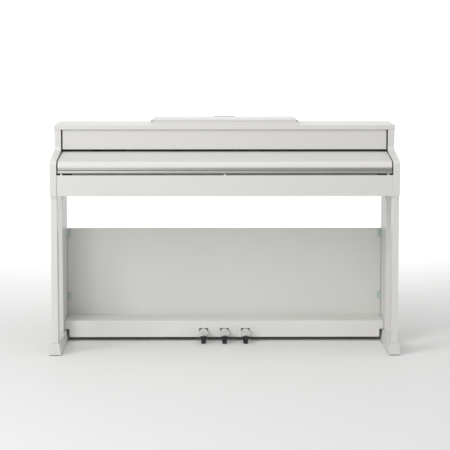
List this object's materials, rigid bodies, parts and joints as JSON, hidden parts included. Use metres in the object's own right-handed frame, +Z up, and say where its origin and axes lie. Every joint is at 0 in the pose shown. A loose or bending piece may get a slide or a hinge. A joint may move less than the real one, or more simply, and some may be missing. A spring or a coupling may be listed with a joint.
{
  "type": "digital piano",
  "caption": "Slim upright digital piano on a stand, with a sliding fallboard, folding music rest, sprung keys and pedals, a pedal box and long feet.",
  "frame": {"origin": "on the floor, in the middle of the overall box", "axes": "+X towards the treble end, -Y towards the player, +Z up"},
  "size_m": [1.4194, 0.44, 0.9408],
  "materials": {
    "case": "satin lacquered board",
    "stand": "satin lacquered board",
    "stand_inner": "satin lacquered board",
    "fallboard": "satin lacquer",
    "handle": "satin anodised",
    "hardboard": "matt painted hardboard",
    "music_rest": "satin lacquered board",
    "dark_metal": "dark brushed",
    "steel": "brushed",
    "chrome": "polished",
    "white_key": "satin gloss",
    "black_key": "fine matt grain",
    "key_frame": "moulded",
    "felt": "felt",
    "circuit": "solder resist",
    "black_plastic": "fine grain",
    "white_rubber": "matt",
    "black_rubber": "matt",
    "bracket": "translucent grey",
    "nylon": "smooth",
    "cone": "pressed paper"
  },
  "bodies": {
    "body": {"left_cheek": "case", "right_cheek": "case", "lid": "case", "key_slip": "case", "upper_panel": "case", "key_bed": "case", "case_back": "hardboard", "slip_bumpers": "white_rubber", "fallboard_rails": "steel", "music_rest_base": "music_rest", "music_rest_hinges": "dark_metal", "key_frame": "key_frame", "key_pivot_rod": "steel", "key_stop_felts": "felt", "sensor_board": "circuit", "key_blocks": "black_plastic", "speaker_frames": "dark_metal", "speaker_cones": "cone", "speaker_grilles": "black_plastic", "circuit_boards": "circuit", "jack_panel": "black_plastic", "legs": "stand", "side_boards": "stand", "feet": "stand", "foot_glides": "black_rubber", "back_board": "stand_inner", "stand_brackets": "steel", "corner_brackets": "bracket", "screws": "steel", "pedal_box": "stand_inner", "pedal_frame": "steel", "pedal_axle": "steel", "pedal_springs": "dark_metal", "pedal_rests": "black_rubber"},
    "fallboard": {"fallboard": "fallboard", "fallboard_handle": "handle", "fallboard_brackets": "dark_metal", "glide_shoes": "nylon"},
    "synchro": {"synchro_shaft": "steel"},
    "music_rest": {"music_rest_plate": "music_rest", "music_rest_finger_strip": "dark_metal"},
    "music_stay": {"music_rest_stay": "steel"},
    "power_button": {"power_button": "black_plastic"},
    "function_button": {"function_button": "black_plastic"},
    "volume_slider": {"volume_slider": "black_plastic"},
    "soft_pedal": {"soft_pedal": "chrome"},
    "sostenuto_pedal": {"sostenuto_pedal": "chrome"},
    "damper_pedal": {"damper_pedal": "chrome"},
    "tone_keys_c": {"keys_c": "white_key"},
    "tone_keys_c_sharp": {"keys_c_sharp": "black_key"},
    "tone_keys_d": {"keys_d": "white_key"},
    "tone_keys_d_sharp": {"keys_d_sharp": "black_key"},
    "tone_keys_e": {"keys_e": "white_key"},
    "tone_keys_f": {"keys_f": "white_key"},
    "tone_keys_f_sharp": {"keys_f_sharp": "black_key"},
    "tone_keys_g": {"keys_g": "white_key"},
    "tone_keys_g_sharp": {"keys_g_sharp": "black_key"},
    "tone_keys_a": {"keys_a": "white_key"},
    "tone_keys_a_sharp": {"keys_a_sharp": "black_key"},
    "tone_keys_b": {"keys_b": "white_key"}
  },
  "joints": [
    {"name": "fallboard_slide", "type": "slide", "parent": "body", "child": "fallboard", "axis": [0, 0.9877, 0.1564], "range_m": [0, 0.174]},
    {"name": "synchro_turn", "type": "hinge", "parent": "fallboard", "child": "synchro", "pos_m": [0, 0.00569, 0.76501], "axis": [1, 0, 0], "range_deg": [0, 1140]},
    {"name": "music_rest_tilt", "type": "hinge", "parent": "body", "child": "music_rest", "pos_m": [0, 0.0165, 0.9335], "axis": [1, 0, 0], "range_deg": [0, 70]},
    {"name": "bail_swing", "type": "hinge", "parent": "music_rest", "child": "music_stay", "pos_m": [0, 0.077, 0.9329], "axis": [1, 0, 0], "range_deg": [-118, 0]},
    {"name": "power_button_press", "type": "slide", "parent": "body", "child": "power_button", "axis": [0, 0, -1], "range_m": [0, 0.0015], "stiffness_N_per_m": 900, "springref_m": -0.001},
    {"name": "function_button_press", "type": "slide", "parent": "body", "child": "function_button", "axis": [0, 0, -1], "range_m": [0, 0.0012], "stiffness_N_per_m": 900, "springref_m": -0.001},
    {"name": "volume_slide", "type": "slide", "parent": "body", "child": "volume_slider", "axis": [0, 1, 0], "range_m": [-0.015, 0.015]},
    {"name": "soft_pedal_press", "type": "hinge", "parent": "body", "child": "soft_pedal", "pos_m": [-0.0881, 0.185, 0.047], "axis": [1, 0, 0], "range_deg": [0, 2.2], "stiffness_Nm_per_rad": 60, "springref_deg": -3.44},
    {"name": "sostenuto_pedal_press", "type": "hinge", "parent": "body", "child": "sostenuto_pedal", "pos_m": [0, 0.185, 0.047], "axis": [1, 0, 0], "range_deg": [0, 2.2], "stiffness_Nm_per_rad": 60, "springref_deg": -3.44},
    {"name": "damper_pedal_press", "type": "hinge", "parent": "body", "child": "damper_pedal", "pos_m": [0.0881, 0.185, 0.047], "axis": [1, 0, 0], "range_deg": [0, 2.2], "stiffness_Nm_per_rad": 60, "springref_deg": -3.44},
    {"name": "tone_key_c_press", "type": "hinge", "parent": "body", "child": "tone_keys_c", "pos_m": [0, 0.028, 0.724], "axis": [1, 0, 0], "range_deg": [0, 2.7], "stiffness_Nm_per_rad": 24, "springref_deg": -6.88},
    {"name": "tone_key_c_sharp_press", "type": "hinge", "parent": "body", "child": "tone_keys_c_sharp", "pos_m": [0, 0.028, 0.724], "axis": [1, 0, 0], "range_deg": [0, 2.7], "stiffness_Nm_per_rad": 24, "springref_deg": -6.88},
    {"name": "tone_key_d_press", "type": "hinge", "parent": "body", "child": "tone_keys_d", "pos_m": [0, 0.028, 0.724], "axis": [1, 0, 0], "range_deg": [0, 2.7], "stiffness_Nm_per_rad": 24, "springref_deg": -6.88},
    {"name": "tone_key_d_sharp_press", "type": "hinge", "parent": "body", "child": "tone_keys_d_sharp", "pos_m": [0, 0.028, 0.724], "axis": [1, 0, 0], "range_deg": [0, 2.7], "stiffness_Nm_per_rad": 24, "springref_deg": -6.88},
    {"name": "tone_key_e_press", "type": "hinge", "parent": "body", "child": "tone_keys_e", "pos_m": [0, 0.028, 0.724], "axis": [1, 0, 0], "range_deg": [0, 2.7], "stiffness_Nm_per_rad": 24, "springref_deg": -6.88},
    {"name": "tone_key_f_press", "type": "hinge", "parent": "body", "child": "tone_keys_f", "pos_m": [0, 0.028, 0.724], "axis": [1, 0, 0], "range_deg": [0, 2.7], "stiffness_Nm_per_rad": 24, "springref_deg": -6.88},
    {"name": "tone_key_f_sharp_press", "type": "hinge", "parent": "body", "child": "tone_keys_f_sharp", "pos_m": [0, 0.028, 0.724], "axis": [1, 0, 0], "range_deg": [0, 2.7], "stiffness_Nm_per_rad": 24, "springref_deg": -6.88},
    {"name": "tone_key_g_press", "type": "hinge", "parent": "body", "child": "tone_keys_g", "pos_m": [0, 0.028, 0.724], "axis": [1, 0, 0], "range_deg": [0, 2.7], "stiffness_Nm_per_rad": 24, "springref_deg": -6.88},
    {"name": "tone_key_g_sharp_press", "type": "hinge", "parent": "body", "child": "tone_keys_g_sharp", "pos_m": [0, 0.028, 0.724], "axis": [1, 0, 0], "range_deg": [0, 2.7], "stiffness_Nm_per_rad": 24, "springref_deg": -6.88},
    {"name": "tone_key_a_press", "type": "hinge", "parent": "body", "child": "tone_keys_a", "pos_m": [0, 0.028, 0.724], "axis": [1, 0, 0], "range_deg": [0, 2.7], "stiffness_Nm_per_rad": 24, "springref_deg": -6.88},
    {"name": "tone_key_a_sharp_press", "type": "hinge", "parent": "body", "child": "tone_keys_a_sharp", "pos_m": [0, 0.028, 0.724], "axis": [1, 0, 0], "range_deg": [0, 2.7], "stiffness_Nm_per_rad": 24, "springref_deg": -6.88},
    {"name": "tone_key_b_press", "type": "hinge", "parent": "body", "child": "tone_keys_b", "pos_m": [0, 0.028, 0.724], "axis": [1, 0, 0], "range_deg": [0, 2.7], "stiffness_Nm_per_rad": 24, "springref_deg": -6.88}
  ],
  "couplings": [
    {"joint": "synchro_turn", "follows": "fallboard_slide", "rad_per_m": 114.29},
    {"joint": "bail_swing", "follows": "music_rest_tilt", "ratio": -1.6857}
  ]
}
